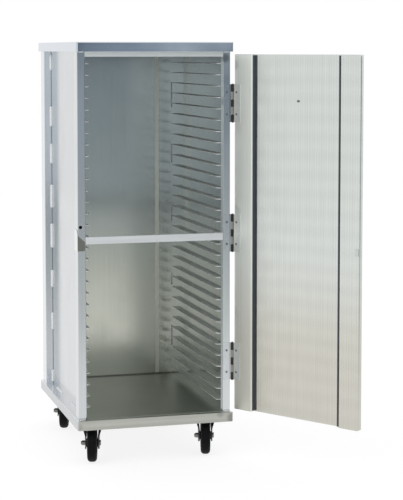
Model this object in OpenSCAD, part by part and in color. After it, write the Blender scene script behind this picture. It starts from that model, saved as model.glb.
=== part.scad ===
// Enclosed meal tray cart: a welded aluminium cabinet on four swivel casters,
// with a full-height hinged door and a stack of tray ledges on both side walls.
//
// Units are millimetres. The origin is on the floor under the middle of the
// cabinet, +Z is up and the door opening faces -Y.

/* [Cabinet] */
// Width over the base and roof rims
cart_w = 535; // [480:1:640]
// Depth over the base and roof rims
cart_d = 714; // [640:1:860]
// Height of the roof over the floor
cart_h = 1407; // [1350:1:1700]
// Outer radius of the rims' upright corners
corner_r = 6; // [5:0.5:10]

/* [Base and roof] */
// Height of the base rim
rim_h = 32; // [26:1:45]
// Height of the roof rim
cap_h = 32; // [24:1:45]
// Thickness of the base and roof rims
rim_t = 3; // [2:0.25:4]
// Radius of the roof's upper edge
roof_edge_r = 3; // [1:0.5:3]
// Width of the flange that the posts stand on
flange_w = 72; // [66:1:85]
// Thickness of the deck sheet
deck_t = 2; // [1:0.25:3]
// Height of the header under the roof rim
header_h = 16.5; // [12:0.5:30]

/* [Posts and walls] */
// Width of a corner post, seen from the front
post_w = 26; // [24:0.5:34]
// Depth of a front corner post
front_post_d = 50; // [40:1:60]
// Depth of a rear corner post
rear_post_d = 65; // [50:1:75]
// Wall thickness of the corner posts
post_t = 2.5; // [1.5:0.25:3.5]
// Wall thickness of the header and the mid rail
section_t = 2.5; // [1.5:0.25:3.5]
// Distance from the rim's side to the posts
post_inset = 6; // [3:0.5:9]
// Distance from the rim's front and rear to the posts
front_inset = 20; // [19:0.5:26]
// Thickness of the side walls
wall_t = 3; // [1.5:0.25:4]
// Distance from the posts' front to the side walls' front edge
wall_setback = 11; // [8:0.5:16]
// Thickness of the back panel
back_t = 3; // [1.5:0.25:4]
// Width of a joint strip on the back panel
strip_w = 13; // [8:1:20]
// Distance from a side wall to a joint strip's near edge
strip_from_wall = 51; // [30:1:90]
// Height of the mid rail
rail_h = 24; // [18:1:32]

/* [Tray ledges] */
// Height from one ledge to the next
ledge_pitch = 38.1; // [36:0.1:76.2]
// Height of the lowest ledge over the deck
first_ledge = 37.6; // [30:0.1:60]
// Reach of a ledge from the side wall
ledge_reach = 14; // [10:0.5:16]
// Thickness of a ledge
ledge_t = 2; // [1.5:0.25:3]
// Number of the ledge that lines up with the mid rail's top
rail_ledge = 15; // [10:1:16]

/* [Door] */
// Thickness of the door at its stiles
door_t = 17; // [15:0.5:17.5]
// Gap over and under the closed door
door_clear = 9; // [6:0.5:12]
// Width of the hinge stile
hinge_stile_w = 77; // [60:1:110]
// Width of the latch stile
latch_stile_w = 80; // [60:1:110]
// Wall thickness of the stiles
stile_t = 2; // [1.5:0.25:3]
// Radius of the stiles' long edges
stile_r = 4; // [1.5:0.5:5]
// Radius of the door's free corners
door_corner_r = 7; // [3:0.5:12]
// Thickness of the door's centre panel
panel_t = 2; // [1.5:0.25:3]
// Opening angle of the door as shown
door_open = 124; // [0:1:200]

/* [Hinges] */
// Height of a hinge
hinge_h = 127; // [100:1:150]
// Outer diameter of the knuckles
knuckle_d = 9.5; // [8:0.5:10]
// Diameter of the hinge pins
pin_d = 4.8; // [4:0.2:5.2]
// Thickness of a hinge leaf
leaf_t = 1.6; // [1.2:0.1:1.6]
// Width of a leaf from the pin's centre
leaf_w = 32; // [28:1:33]
// Distance from the door's top or bottom to the nearest hinge's centre
hinge_inset = 163.5; // [100:1:250]

/* [Latch and handle] */
// Height of the keeper plate's middle
keeper_z = 754; // [600:1:900]
// Height of the keeper plate
keeper_h = 70; // [50:1:90]
// Thickness of the keeper plate
keeper_t = 1.5; // [1:0.1:1.6]
// Diameter of the hole in the left front post
post_hole_d = 12; // [8:0.5:14]
// Distance from the post's outer face to the hole's centre
post_hole_inset = 9.5; // [8:0.5:14]
// Length of the pull handle between its arms
handle_len = 140; // [100:1:200]
// Diameter of the pull handle's bar
handle_d = 10; // [8:0.5:14]

/* [Casters] */
// Diameter of a wheel
wheel_d = 127; // [100:1:127]
// Width of a wheel
wheel_w = 32; // [25:0.5:34]
// Distance from the swivel axis to the wheel's axle
trail = 38; // [30:1:42]
// Distance from the rim's side to a swivel axis
caster_side = 70; // [68:1:90]
// Distance from the rim's front or rear to a swivel axis
caster_end = 105; // [90:1:140]
// Turn of the casters as shown
caster_turn = -14; // [-30:1:30]
// Diameter of the axle bolt
axle_d = 12; // [8:0.5:14]
// Diameter of the kingpin
kingpin_d = 12; // [10:0.5:16]

/* [Hidden] */
$fn = 48;
run_clear = 0.05;     // radial clearance of pins and shafts that turn
face_clear = 0.3;     // gap between faces that slide past each other
eps = 0.01;           // overshoot of a cut

// Caster heights, from the floor up
wheel_r = wheel_d / 2;
crown_z = wheel_d + 4;
crown_t = 3;
race_h = 5;
race_r = 29;
plate_w = 85;
plate_d = 100;
plate_t = 4;
boss_h = 5;
boss_r = 27;
leg_t = 3.5;                                 // sheet of the pressed fork
leg_gap = wheel_w / 2 + 5.5;                 // inner face of a leg at the axle
leg_top = leg_gap + 11.5;                    // outer face of a leg at the crown
leg_bow = 200;                               // radius of the legs in plan
leg_mid = -24;                               // middle of the bow, along y
leg_foot = 21;                               // radius of a leg's foot about the axle
flange_in = 10;                              // reach of the legs' edge flanges at the crown
crown_y0 = -36;                              // ends of the crown, along y
crown_y1 = 28;
tyre_h = 17;                                 // height of the tyre's section
tread_r = 12;                                // radius of the tyre's round shoulders
plate_z = crown_z + crown_t + race_h + face_clear + boss_h - face_clear;
channel_t = 3;
channel_d = 110;
channel_flange = 18;
bolt_d = 8;
bolt_x = 60;
bolt_y = 80;
bolt_head_w = 13;
bolt_head_h = 5;
kingpin_head_d = 20;
kingpin_head_h = 3.7;
kingpin_skin = 1;                            // left of the plate over the kingpin

// Heights of the cabinet, stacked on the casters
channel_z = plate_z + plate_t;
deck_z = channel_z + channel_t + rim_t;      // top of the base flange
base_z = deck_z - rim_h;
floor_z = deck_z + deck_t;
cap_z = cart_h - cap_h;
header_z = cap_z - header_h;
post_h = cap_z - deck_z;

// Plan of the cabinet
front_y = -cart_d / 2 + front_inset;         // front faces of the posts
rear_y = cart_d / 2 - front_inset;           // rear faces of the posts
post_x = cart_w / 2 - post_inset;            // outer faces of the posts
wall_x = post_x - post_w;                    // outer faces of the side walls
inner_x = wall_x - wall_t;                   // inner faces of the side walls
back_y = rear_y - back_t;                    // inner face of the back panel
wall_y = front_y + wall_setback;             // front edges of the side walls
post_corner_r = 1.5;
strip_t = 2;                                 // joint strips on the back panel
strip_foot = 5;                              // gap between a strip and the deck

// Tray ledges
ledge_z0 = floor_z + first_ledge;
ledge_front = wall_y + 2;
ledge_rear = back_y - rear_post_d;
ledge_nose = 8;                              // chamfer at the front inner corner
header_room = 15;                            // least space over the top ledge
ledge_count = floor((header_z - header_room - ledge_z0) / ledge_pitch) + 1;
rail_z1 = ledge_z0 + rail_ledge * ledge_pitch;
post_hole_z = rail_z1 + 33;

// Door, closed: x runs from the hinge axis towards the latch, as negative x
leaf_gap = 2 * leaf_t + 0.2;                 // between the door and the posts
hinge_out = 2;                               // hinge axis beyond the rim's side
hinge_x = cart_w / 2 + hinge_out;
hinge_y = front_y - leaf_gap / 2;
door_edge = 6;                               // hinge axis to the door's edge
door_lap = 15;                               // door over the latch side's post
door_z0 = deck_z + door_clear;
door_z1 = cap_z - door_clear;
door_h = door_z1 - door_z0;
door_over = 4;                               // door past the keeper's side of that lap
door_w = hinge_x - door_edge + post_x - door_lap + door_over;
door_in = -leaf_gap / 2;                     // inner face of the stiles
door_out = door_in - door_t;                 // outer face
cap_plate_t = 2;
cap_plug_h = 12;                             // depth of a cap's plug in its stile
plug_clear = 0.1;
hinge_zs = [door_z0 + hinge_inset, (door_z0 + door_z1) / 2, door_z1 - hinge_inset];
knuckle_count = 5;
knuckle_gap = 0.4;
rivet_rise = 37;                             // rivets over and under a hinge's middle
frame_rivet_x = -20;
door_rivet_x = -16;
rivet_d = 4.8;
rivet_head_d = 8;
rivet_tail_d = 8;
panel_rivet_drop = 152;                      // rivet under the door's upper edge

// Welds
bead_r = 7;
foot_bead_r = 4;
thin_bead_r = 3;
// Each outer stitch: height of its lower end over the base, and its length
side_stitches = [[7, 45], [201, 64], [358, 64], [504, 89], [651, 85], [813, 73], [948, 74], [1153, 60]];
// Each stitch in the rear inner corners: the same
corner_stitches = [[108, 78], [340, 46], [582, 70], [803, 72], [1011, 96]];
// Each stitch along the foot of a side wall: distance from the rim's front, and its length
foot_stitches = [[200, 80], [451, 102]];

CORNERS = [["front_left", -1, -1], ["front_right", 1, -1], ["rear_left", -1, 1], ["rear_right", 1, 1]];
CASTER_PARTS = ["fork", "raceway", "axle", "hub", "tyre"];
RAILS = [["front", 0], ["right", 90], ["rear", 180], ["left", 270]];   // name and turn of each base rail

sheet_colour = [0.78, 0.80, 0.81];
frame_colour = [0.70, 0.73, 0.76];
bright_colour = [0.88, 0.89, 0.90];
keeper_colour = [0.45, 0.46, 0.46];
zinc_colour = [0.66, 0.68, 0.66];
black_colour = [0.09, 0.09, 0.10];

// ---------------------------------------------------------------- profiles

// A rectangle centred on the origin, with round corners.
module round_rect(w, d, r) {
    square([w - 2 * r, d], center = true);
    square([w, d - 2 * r], center = true);
    for (x = [-1, 1], y = [-1, 1])
        translate([x * (w / 2 - r), y * (d / 2 - r)]) circle(r);
}

// A rectangular tube standing on the plane z = 0, with one corner at the origin.
module tube(w, d, h, t, r) {
    translate([w / 2, d / 2, 0]) difference() {
        linear_extrude(h) round_rect(w, d, r);
        translate([0, 0, -eps]) linear_extrude(h + 2 * eps) square([w - 2 * t, d - 2 * t], center = true);
    }
}

// A plate with round upright corners and a rounded upper edge: its plan, front view
// and side view, run through one another.
module round_top_plate(w, d, h, r, edge) {
    intersection() {
        linear_extrude(h) round_rect(w, d, r);
        rotate([90, 0, 0]) linear_extrude(2 * d, center = true) round_rect(w, 2 * h, edge);
        rotate([90, 0, 90]) linear_extrude(2 * w, center = true) round_rect(d, 2 * h, edge);
    }
}

// A quarter-round weld bead along +Z, filling the corner towards +X and +Y.
module bead(len, r) {
    intersection() {
        cylinder(r = r, h = len);
        cube([r, r, len]);
    }
}

// Draws its child for both sides of the cabinet.
module both_sides() {
    children();
    mirror([1, 0, 0]) children();
}

// ---------------------------------------------------------------- cabinet

// An upright rim with a flange at its closed end, seen as a tray with no floor.
module rim(h) {
    difference() {
        linear_extrude(h) round_rect(cart_w, cart_d, corner_r);
        translate([0, 0, -eps]) linear_extrude(h - rim_t + eps)
            square([cart_w - 2 * rim_t, cart_d - 2 * rim_t], center = true);
        translate([0, 0, -eps]) linear_extrude(h + 2 * eps)
            square([cart_w - 2 * flange_w, cart_d - 2 * flange_w], center = true);
    }
}

// Plan of one rail of the base, mitred at both ends. Side rails run along Y.
module mitred_plan(along, across) {
    polygon([
        [-along / 2, -across / 2],
        [along / 2, -across / 2],
        [along / 2 - flange_w, -across / 2 + flange_w],
        [-along / 2 + flange_w, -across / 2 + flange_w]
    ]);
}

// One rail of the base frame: an angle with its flange at the top.
module base_rail(turn) {
    side = turn % 180 != 0;
    color(frame_colour) translate([0, 0, base_z]) intersection() {
        rim(rim_h);
        rotate([0, 0, turn]) translate([0, 0, -eps]) linear_extrude(rim_h + 2 * eps)
            mitred_plan(side ? cart_d : cart_w, side ? cart_w : cart_d);
    }
}

module floor_deck() {
    color(sheet_colour) translate([-inner_x, front_y, deck_z])
        cube([2 * inner_x, back_y - front_y, deck_t]);
}

// The roof is a pan: a top sheet, a rim all round and a return flange for the posts.
module roof_cap() {
    color(frame_colour) translate([0, 0, cap_z]) difference() {
        round_top_plate(cart_w, cart_d, cap_h, corner_r, roof_edge_r);
        translate([0, 0, rim_t]) linear_extrude(cap_h - 2 * rim_t)
            square([cart_w - 2 * rim_t, cart_d - 2 * rim_t], center = true);
        translate([0, 0, -eps]) linear_extrude(2 * rim_t)
            square([cart_w - 2 * flange_w, cart_d - 2 * flange_w], center = true);
    }
}

// A corner post of the right side, with its outer face at post_x.
module post(y, depth) {
    translate([wall_x, y, deck_z]) tube(post_w, depth, post_h, post_t, post_corner_r);
}

module front_left_post() {
    color(bright_colour) difference() {
        mirror([1, 0, 0]) post(front_y, front_post_d);
        translate([-post_x + post_hole_inset, front_y - eps, post_hole_z]) rotate([-90, 0, 0])
            cylinder(d = post_hole_d, h = post_t + 2 * eps);
    }
}

module front_right_post() {
    color(bright_colour) difference() {
        post(front_y, front_post_d);
        for (z = hinge_zs, s = [-1, 1])
            translate([hinge_x + frame_rivet_x, front_y - eps, z + s * rivet_rise])
                rotate([-90, 0, 0]) cylinder(d = rivet_d + 2 * run_clear, h = post_t + 2 * eps);
    }
}

module rear_left_post() {
    color(bright_colour) mirror([1, 0, 0]) post(rear_y - rear_post_d, rear_post_d);
}

module rear_right_post() {
    color(bright_colour) post(rear_y - rear_post_d, rear_post_d);
}

// A side wall laps the inner faces of its two posts and runs back to the back panel.
module side_wall() {
    translate([inner_x, wall_y, deck_z]) cube([wall_t, back_y - wall_y, post_h]);
}

module left_side_wall() {
    color(sheet_colour) mirror([1, 0, 0]) side_wall();
}

module right_side_wall() {
    color(sheet_colour) side_wall();
}

// Thin level fins on the inside of the right wall, each with a chamfered nose.
module tray_ledges() {
    for (i = [0 : ledge_count - 1])
        translate([0, 0, ledge_z0 + i * ledge_pitch - ledge_t]) linear_extrude(ledge_t) polygon([
            [inner_x, ledge_front],
            [inner_x, ledge_rear],
            [inner_x - ledge_reach, ledge_rear],
            [inner_x - ledge_reach, ledge_front + ledge_nose],
            [inner_x - ledge_reach + ledge_nose, ledge_front]
        ]);
}

module left_tray_ledges() {
    color(sheet_colour) mirror([1, 0, 0]) tray_ledges();
}

module right_tray_ledges() {
    color(sheet_colour) tray_ledges();
}

module back_panel() {
    color(sheet_colour) translate([-wall_x, back_y, deck_z]) cube([2 * wall_x, back_t, post_h]);
}

// Upright strips over the back panel's joints, from just over the deck to the roof.
module back_joint_strips() {
    color(sheet_colour) both_sides()
        translate([inner_x - strip_from_wall - strip_w, back_y - strip_t, floor_z + strip_foot])
            cube([strip_w, strip_t, cap_z - floor_z - strip_foot]);
}

// An angle across the front under the roof: an upright leg and a lip at its foot.
module front_header() {
    color(bright_colour) translate([-wall_x, front_y, header_z]) {
        cube([2 * wall_x, section_t, header_h]);
        cube([2 * wall_x, wall_setback, section_t]);
    }
}

// The rail between the front posts: a channel that opens to the rear.
module mid_rail() {
    color(bright_colour) translate([-wall_x, front_y, rail_z1 - rail_h]) difference() {
        cube([2 * wall_x, wall_setback, rail_h]);
        translate([-eps, section_t, section_t])
            cube([2 * (wall_x + eps), wall_setback, rail_h - 2 * section_t]);
    }
}

// A folded plate round the left front post: a cropped leg on its front face
// and a longer one on its outer face. The door's magnet lands on the front leg.
module latch_keeper() {
    front_leg = 25.5;
    nose_r = 5;
    z0 = keeper_z - keeper_h / 2;
    z1 = keeper_z + keeper_h / 2;
    corner_z = z1 - 17;                          // crop at the fold
    inner_z = z1 - 40;                           // crop at the front leg's inner edge
    side_slope = 13.5;                           // crop of the side leg, front to rear
    x0 = -post_x - keeper_t;
    color(keeper_colour) {
        translate([0, front_y, 0]) rotate([90, 0, 0]) linear_extrude(keeper_t) union() {
            polygon([
                [x0, z0],
                [x0 + front_leg - nose_r, z0],
                [x0 + front_leg - nose_r, z0 + nose_r],
                [x0 + front_leg, z0 + nose_r],
                [x0 + front_leg, inner_z],
                [x0, corner_z]
            ]);
            translate([x0 + front_leg - nose_r, z0 + nose_r]) circle(nose_r);
        }
        translate([x0, 0, 0]) rotate([90, 0, 90]) linear_extrude(keeper_t) polygon([
            [front_y - keeper_t, z0],
            [front_y + front_post_d, z0],
            [front_y + front_post_d, z1],
            [front_y + side_slope, z1],
            [front_y - keeper_t, corner_z]
        ]);
    }
}

// ---------------------------------------------------------------- welds

// Stitches in the outer corners between side walls and rear posts, and at the walls' feet.
module side_weld_beads() {
    color(bright_colour) both_sides() {
        for (s = side_stitches)
            if (s[0] + s[1] < post_h)
                translate([wall_x, rear_y - rear_post_d, deck_z + s[0]])
                    rotate([0, 0, -90]) bead(s[1], bead_r);
        for (s = foot_stitches)
            translate([wall_x, -cart_d / 2 + s[0] + s[1], deck_z])
                rotate([90, 0, 0]) bead(s[1], foot_bead_r);
    }
}

// Stitches in the rear inner corners, where the side walls meet the back panel.
module corner_weld_beads() {
    color(bright_colour) both_sides()
        for (s = corner_stitches)
            if (s[0] + s[1] < post_h)
                translate([inner_x, back_y, deck_z + s[0]]) rotate([0, 0, 180]) bead(s[1], thin_bead_r);
}

// Short welds across the front posts' feet and heads, and one over the header.
module frame_weld_beads() {
    bead_end = 3;
    post_bead = post_w - 2 * bead_end;
    header_bead = 45;
    color(bright_colour) {
        both_sides() {
            translate([wall_x + bead_end, front_y, deck_z])
                rotate([90, 0, 90]) mirror([1, 0, 0]) bead(post_bead, thin_bead_r);
            translate([wall_x + bead_end, front_y, cap_z])
                rotate([90, 0, 90]) mirror([1, 0, 0]) mirror([0, 1, 0]) bead(post_bead, thin_bead_r);
        }
        translate([-header_bead / 2, front_y, cap_z])
            rotate([90, 0, 90]) mirror([1, 0, 0]) mirror([0, 1, 0]) bead(header_bead, thin_bead_r);
    }
}

// ---------------------------------------------------------------- hinges and door

// Draws its child in the closed door's own axes, turned to the angle shown.
module on_door() {
    translate([hinge_x, hinge_y, 0]) rotate([0, 0, door_open]) children();
}

// Draws its child in the same axes as a closed door, fixed to the cabinet.
module on_frame() {
    translate([hinge_x, hinge_y, 0]) children();
}

// One leaf with its share of the knuckles: first is its lowest knuckle's number.
// Its plate lies on the +Y side of the axis, from the axis towards -X.
module leaf(first, rivet_x) {
    pitch = hinge_h / knuckle_count;
    slot = knuckle_d + 1.2;                      // cut in the plate for the other leaf's knuckles
    own = [for (k = [first : 2 : knuckle_count - 1]) k];
    other = [for (k = [1 - first : 2 : knuckle_count - 1]) k];
    difference() {
        union() {
            translate([-leaf_w, leaf_gap / 2 - leaf_t, -hinge_h / 2]) cube([leaf_w, leaf_t, hinge_h]);
            for (k = own) translate([0, 0, k * pitch - hinge_h / 2 + knuckle_gap / 2])
                cylinder(d = knuckle_d, h = pitch - knuckle_gap);
        }
        for (k = own) translate([-pin_d, -knuckle_d, k * pitch - hinge_h / 2 - knuckle_gap / 2])
            cube([2 * pin_d, 2 * knuckle_d, knuckle_gap]);
        for (k = other) translate([-slot / 2, -knuckle_d, k * pitch - hinge_h / 2 - knuckle_gap / 2])
            cube([slot, 2 * knuckle_d, pitch + knuckle_gap]);
        translate([0, 0, -hinge_h]) cylinder(d = pin_d + 2 * run_clear, h = 2 * hinge_h);
        for (s = [-1, 1]) translate([rivet_x, leaf_gap / 2 - leaf_t, s * rivet_rise]) rotate([-90, 0, 0])
            cylinder(d1 = rivet_head_d + 2 * run_clear, d2 = rivet_d + 2 * run_clear, h = leaf_t);
    }
}

// A flush rivet along +Y: head in the leaf, shank through a wall t thick, and tail.
module flush_rivet(t) {
    tail_h = 1.5;
    rotate([-90, 0, 0]) {
        cylinder(d1 = rivet_head_d, d2 = rivet_d, h = leaf_t);
        cylinder(d = rivet_d, h = leaf_t + t + tail_h);
        translate([0, 0, leaf_t + t]) cylinder(d = rivet_tail_d, h = tail_h);
    }
}

module hinge_frame_leaves() {
    color(frame_colour) on_frame() for (z = hinge_zs) translate([0, 0, z]) leaf(0, frame_rivet_x);
}

module hinge_pins() {
    head_d = 7.2;
    head_h = 2;
    color(zinc_colour) on_frame() for (z = hinge_zs) translate([0, 0, z]) {
        translate([0, 0, -hinge_h / 2 - head_h]) cylinder(d = pin_d, h = hinge_h + 2 * head_h);
        for (s = [0, 1]) mirror([0, 0, s]) translate([0, 0, hinge_h / 2]) cylinder(d = head_d, h = head_h);
    }
}

module hinge_frame_rivets() {
    color(zinc_colour) on_frame() for (z = hinge_zs, s = [-1, 1])
        translate([frame_rivet_x, leaf_gap / 2 - leaf_t, z + s * rivet_rise]) flush_rivet(post_t);
}

module hinge_door_leaves() {
    color(frame_colour) on_door() mirror([0, 1, 0])
        for (z = hinge_zs) translate([0, 0, z]) leaf(1, door_rivet_x);
}

module hinge_door_rivets() {
    color(zinc_colour) on_door() mirror([0, 1, 0]) for (z = hinge_zs, s = [-1, 1])
        translate([door_rivet_x, leaf_gap / 2 - leaf_t, z + s * rivet_rise]) flush_rivet(stile_t);
}

// The door's outline, square at the hinge and round at its two free corners, run through its thickness.
module door_outline() {
    free_x = -door_edge - door_w;
    translate([0, door_out - eps, 0]) rotate([-90, 0, 0]) mirror([0, 1, 0]) linear_extrude(door_t + 2 * eps) {
        translate([free_x, door_z0 + door_corner_r]) square([door_w, door_h - 2 * door_corner_r]);
        translate([free_x + door_corner_r, door_z0]) square([door_w - door_corner_r, door_h]);
        for (z = [door_z0 + door_corner_r, door_z1 - door_corner_r])
            translate([free_x + door_corner_r, z]) circle(door_corner_r);
    }
}

// A closed-section stile whose edge nearest the hinge is edge from the hinge axis.
module stile(edge, w) {
    translate([-edge - w, door_out, door_z0 + cap_plate_t])
        tube(w, door_t, door_h - 2 * cap_plate_t, stile_t, stile_r);
}

module door_hinge_stile() {
    color(sheet_colour) on_door() difference() {
        stile(door_edge, hinge_stile_w);
        for (z = hinge_zs, s = [-1, 1])
            translate([door_rivet_x, door_in + eps, z + s * rivet_rise]) rotate([90, 0, 0])
                cylinder(d = rivet_d + 2 * run_clear, h = stile_t + 2 * eps);
    }
}

module door_latch_stile() {
    color(sheet_colour) on_door() intersection() {
        stile(door_edge + door_w - latch_stile_w, latch_stile_w);
        door_outline();
    }
}

// The centre panel, level with the stiles' outer faces.
module door_panel() {
    color(sheet_colour) on_door() difference() {
        translate([-door_edge - door_w + latch_stile_w, door_out, door_z0])
            cube([door_w - hinge_stile_w - latch_stile_w, panel_t, door_h]);
        translate([-door_edge - door_w / 2, door_out - eps, door_z1 - panel_rivet_drop]) rotate([-90, 0, 0])
            cylinder(d = rivet_d + 2 * run_clear, h = panel_t + 2 * eps);
    }
}

// A plate with a plug under it that closes the upper end of a stile, w wide.
module end_cap(w) {
    bore = 2 * (stile_t + plug_clear);
    translate([0, 0, -cap_plate_t]) linear_extrude(cap_plate_t) round_rect(w, door_t, stile_r);
    translate([0, 0, -cap_plug_h]) linear_extrude(cap_plug_h) square([w - bore, door_t - bore], center = true);
}

// Caps in both ends of both stiles.
module door_end_caps() {
    door_mid_z = (door_z0 + door_z1) / 2;
    color(frame_colour) on_door() intersection() {
        translate([0, door_out + door_t / 2, door_mid_z])
            for (s = [0, 1], w = [
                [hinge_stile_w, -door_edge - hinge_stile_w / 2],
                [latch_stile_w, -door_edge - door_w + latch_stile_w / 2]
            ]) translate([w[1], 0, 0]) mirror([0, 0, s]) translate([0, 0, door_h / 2]) end_cap(w[0]);
        door_outline();
    }
}

// A flat magnet on the latch stile's inner face, in line with the keeper.
module door_magnet_catch() {
    magnet_w = 14;
    magnet_h = 24;
    magnet_t = leaf_gap - keeper_t - 0.4;
    magnet_edge = 4;                             // from the door's free edge
    magnet_drop = 16;                            // under the keeper's middle
    color(zinc_colour) on_door()
        translate([-door_edge - door_w + magnet_edge, door_in, keeper_z - magnet_h / 2 - magnet_drop])
            cube([magnet_w, magnet_t, magnet_h]);
}

// A round-bar pull on the door's outer face: two arms, two bends and a grip.
module door_pull_handle() {
    bend_r = 14;
    arm = 24;
    foot_d = 20;
    foot_t = 3;
    color(bright_colour) on_door()
        translate([-door_edge - door_w + latch_stile_w / 2, door_out, keeper_z]) rotate([90, 0, 0]) {
            translate([0, -handle_len / 2 + bend_r, arm + bend_r]) rotate([-90, 0, 0])
                cylinder(d = handle_d, h = handle_len - 2 * bend_r);
            for (s = [0, 1]) mirror([0, s, 0]) {
                translate([0, handle_len / 2, 0]) cylinder(d = handle_d, h = arm);
                translate([0, handle_len / 2, 0]) cylinder(d = foot_d, h = foot_t);
                translate([0, handle_len / 2 - bend_r, arm]) rotate([90, 0, 90])
                    rotate_extrude(angle = 90) translate([bend_r, 0]) circle(d = handle_d);
            }
        }
}

module door_panel_rivet() {
    head_d = 10;
    head_h = 1.4;
    tail_h = 3;
    color(zinc_colour) on_door()
        translate([-door_edge - door_w / 2, door_out, door_z1 - panel_rivet_drop]) rotate([-90, 0, 0]) {
            translate([0, 0, -head_h]) cylinder(d = head_d, h = head_h);
            translate([0, 0, -head_h]) cylinder(d = rivet_d, h = head_h + panel_t + tail_h);
            translate([0, 0, panel_t]) cylinder(d = rivet_tail_d, h = tail_h);
        }
}

// ---------------------------------------------------------------- caster mountings

// Draws its child at each of the four swivel axes.
module at_casters() {
    for (c = CORNERS)
        translate([c[1] * (cart_w / 2 - caster_side), c[2] * (cart_d / 2 - caster_end), 0]) children();
}

// A cross channel at each end, under the base flange, that carries two casters.
module caster_channels() {
    length = cart_w - 2 * rim_t;
    color(frame_colour) for (s = [-1, 1]) difference() {
        translate([-length / 2, s * (cart_d / 2 - caster_end) - channel_d / 2, channel_z - channel_flange]) difference() {
            cube([length, channel_d, channel_flange + channel_t]);
            translate([-eps, channel_t, -eps])
                cube([length + 2 * eps, channel_d - 2 * channel_t, channel_flange + eps]);
        }
        at_casters() at_bolts() cylinder(d = bolt_d + 2 * run_clear, h = 2 * channel_z);
    }
}

// Draws its child at the four bolts of a caster plate.
module at_bolts() {
    for (x = [-1, 1], y = [-1, 1]) translate([x * bolt_x / 2, y * bolt_y / 2, 0]) children();
}

module caster_plates() {
    color(black_colour) at_casters() difference() {
        union() {
            translate([0, 0, plate_z]) linear_extrude(plate_t) round_rect(plate_w, plate_d, corner_r);
            translate([0, 0, plate_z - boss_h + face_clear]) cylinder(r = boss_r, h = boss_h);
        }
        at_bolts() cylinder(d = bolt_d + 2 * run_clear, h = 2 * channel_z);
        cylinder(d = kingpin_d, h = plate_z + plate_t - kingpin_skin);
    }
}

module kingpins() {
    head_z = crown_z - face_clear - kingpin_head_h;
    color(zinc_colour) at_casters() translate([0, 0, head_z]) {
        cylinder(d = kingpin_head_d, h = kingpin_head_h);
        cylinder(d = kingpin_d, h = plate_z + plate_t - kingpin_skin - head_z);
    }
}

module caster_bolts() {
    color(zinc_colour) at_casters() at_bolts() {
        translate([0, 0, plate_z - bolt_head_h]) cylinder(d = bolt_head_w, h = bolt_head_h, $fn = 6);
        translate([0, 0, plate_z - bolt_head_h]) cylinder(d = bolt_d, h = bolt_head_h + plate_t + channel_t);
    }
}

// ---------------------------------------------------------------- casters

// Draws its child in a caster's own axes: the swivel axis is z, the wheel trails along -Y.
module at_caster(c) {
    translate([c[1] * (cart_w / 2 - caster_side), c[2] * (cart_d / 2 - caster_end), 0])
        rotate([0, 0, caster_turn]) children();
}

// Plan of the crown, between the two bowed legs.
module crown_plan() {
    intersection() {
        translate([leg_top - leg_bow, leg_mid]) circle(leg_bow, $fn = 200);
        translate([leg_bow - leg_top, leg_mid]) circle(leg_bow, $fn = 200);
        translate([-leg_bow / 2, crown_y0]) square([leg_bow, crown_y1 - crown_y0]);
    }
}

// Side view of a leg, e smaller all round: y across, z up. It narrows from the crown
// to a round foot at the axle.
module leg_outline(e = 0) {
    foot = leg_foot - e;
    polygon([
        [crown_y1 - e, crown_z + crown_t],
        [crown_y1 - e, crown_z - 14],
        [-trail + 0.81 * foot, wheel_r - 0.57 * foot],
        [-trail, wheel_r],
        [-trail - 0.95 * foot, wheel_r + 0.29 * foot],
        [-trail - 13 + e, wheel_r + 36],
        [crown_y0 + e, crown_z + crown_t]
    ]);
    translate([-trail, wheel_r]) circle(foot);
}

// Front view of the right leg, measured from the axis that its bow turns about.
// It is t thick at the crown and leg_t from the knee down.
module leg_section(t) {
    top = leg_bow;
    low = leg_bow - leg_top + leg_gap + leg_t;
    shoulder_z = crown_z - 17;
    knee_z = wheel_r + 22;
    foot_z = wheel_r - leg_foot - 2;
    polygon([
        [top - t, crown_z + eps],
        [top - t, shoulder_z],
        [low - leg_t, knee_z],
        [low - leg_t, foot_z],
        [low, foot_z],
        [low, knee_z],
        [top, shoulder_z],
        [top, crown_z + eps]
    ]);
}

// The part of a right leg that lies within a side view, t thick at the crown.
module bowed_leg(t) {
    intersection() {
        translate([leg_top - leg_bow, leg_mid, 0]) rotate_extrude($fn = 200) leg_section(t);
        translate([wheel_w / 2, 0, 0]) rotate([90, 0, 90]) linear_extrude(leg_top) children();
    }
}

// One sheet, pressed: a flat crown, two bowed legs and an inward flange down each leg's edges.
module fork() {
    color(black_colour) difference() {
        union() {
            translate([0, 0, crown_z]) linear_extrude(crown_t) crown_plan();
            for (s = [0, 1]) mirror([s, 0, 0]) {
                bowed_leg(leg_t) leg_outline();
                bowed_leg(flange_in) difference() {
                    leg_outline();
                    leg_outline(leg_t);
                    translate([crown_y0 + leg_t, crown_z - leg_t])
                        square([crown_y1 - crown_y0 - 2 * leg_t, 3 * leg_t]);
                }
            }
        }
        cylinder(d = kingpin_d + 2 * run_clear, h = 2 * crown_z);
        translate([-leg_top - 1, -trail, wheel_r]) rotate([0, 90, 0])
            cylinder(d = axle_d, h = 2 * leg_top + 2);
    }
}

module raceway() {
    color(black_colour) translate([0, 0, crown_z + crown_t]) difference() {
        cylinder(r = race_r, h = race_h - face_clear);
        translate([0, 0, -eps]) cylinder(d = kingpin_d + 2 * run_clear, h = race_h);
    }
}

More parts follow.
